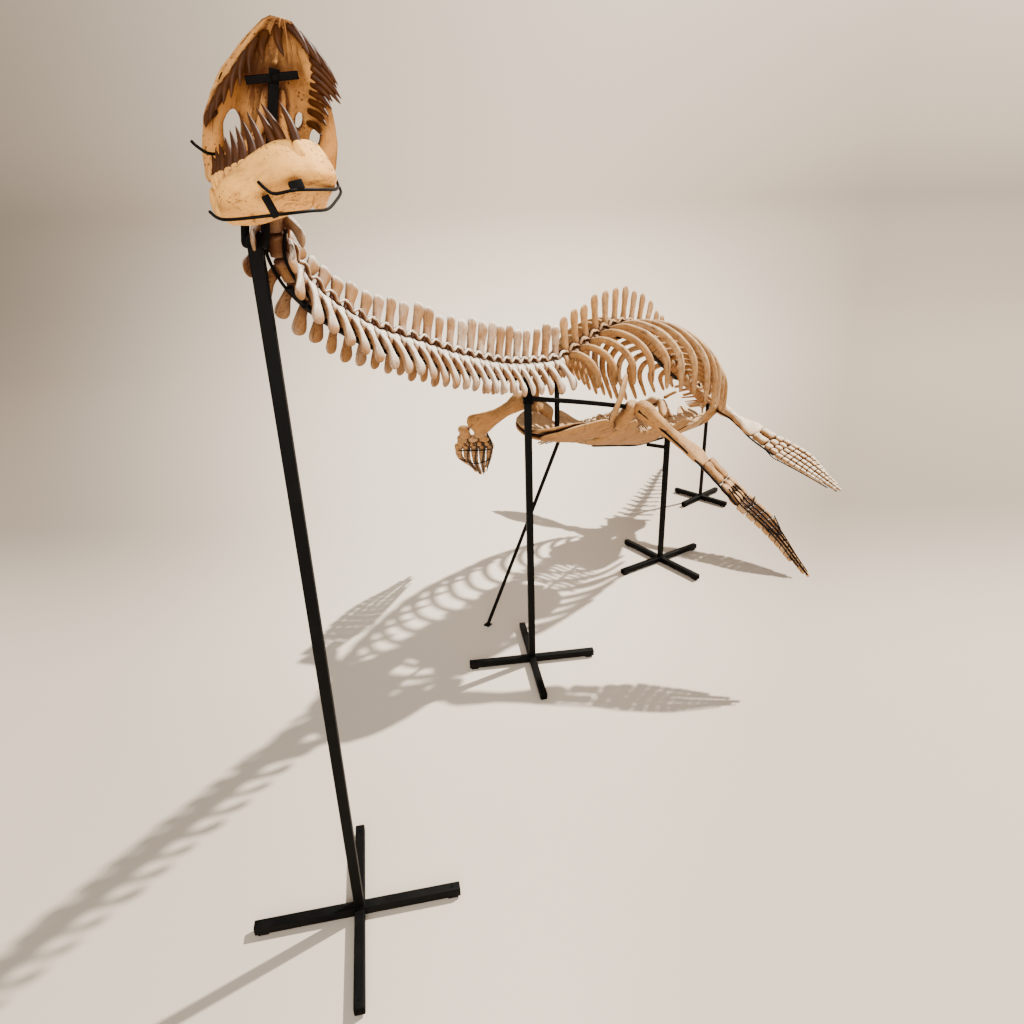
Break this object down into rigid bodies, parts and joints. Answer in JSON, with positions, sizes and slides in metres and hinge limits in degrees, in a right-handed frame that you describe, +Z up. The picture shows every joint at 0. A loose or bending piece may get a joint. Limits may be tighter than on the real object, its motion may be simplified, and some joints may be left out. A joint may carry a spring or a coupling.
{
  "type": "mounted plesiosaur skeleton",
  "caption": "Life-size mounted skeleton of a long-necked plesiosaur, jaws open and paddles spread in a swimming pose, held up by black steel stands with crossed feet.",
  "frame": {"origin": "middle of the footprint of the whole mount, on the floor", "axes": "+X towards the head, +Y the animal's left, +Z up"},
  "size_m": [6.5492, 2.7444, 2.9589],
  "materials": {
    "bone": "matt warm tan bone, cream where it is worn",
    "head_bone": "matt ochre bone with dark brown pits and teeth",
    "steel": "matt black paint"
  },
  "bodies": {
    "root": {"clavicles": "bone", "digits_fore_left": "bone", "digits_fore_right": "bone", "digits_hind_left": "bone", "digits_hind_right": "bone", "femur_left": "bone", "femur_right": "bone", "gastralia": "bone", "humerus_left": "bone", "humerus_right": "bone", "lower_fore_left": "bone", "lower_fore_right": "bone", "lower_hind_left": "bone", "lower_hind_right": "bone", "mandible": "head_bone", "neck_1": "bone", "neck_2": "bone", "neck_3": "bone", "neck_4": "bone", "pelvis_left": "bone", "pelvis_right": "bone", "shoulder_left": "bone", "shoulder_right": "bone", "skull": "head_bone", "stand_back_rail": "steel", "stand_belly_arm": "steel", "stand_belly_rail": "steel", "stand_foot_belly": "steel", "stand_foot_head": "steel", "stand_foot_shoulder": "steel", "stand_foot_tail": "steel", "stand_head_fork": "steel", "stand_jaw_wire": "steel", "stand_keel_bar": "steel", "stand_neck_rail_1": "steel", "stand_neck_rail_2": "steel", "stand_neck_rail_3": "steel", "stand_palate_bar": "steel", "stand_prop": "steel", "stand_rod_belly": "steel", "stand_rod_head": "steel", "stand_rod_shoulder": "steel", "stand_rod_tail": "steel", "stand_shoulder_bar_left": "steel", "stand_shoulder_bar_right": "steel", "tail_1": "bone", "tail_2": "bone", "tail_3": "bone", "trunk_left_1": "bone", "trunk_left_2": "bone", "trunk_left_3": "bone", "trunk_right_1": "bone", "trunk_right_2": "bone", "trunk_right_3": "bone"}
  },
  "joints": []
}
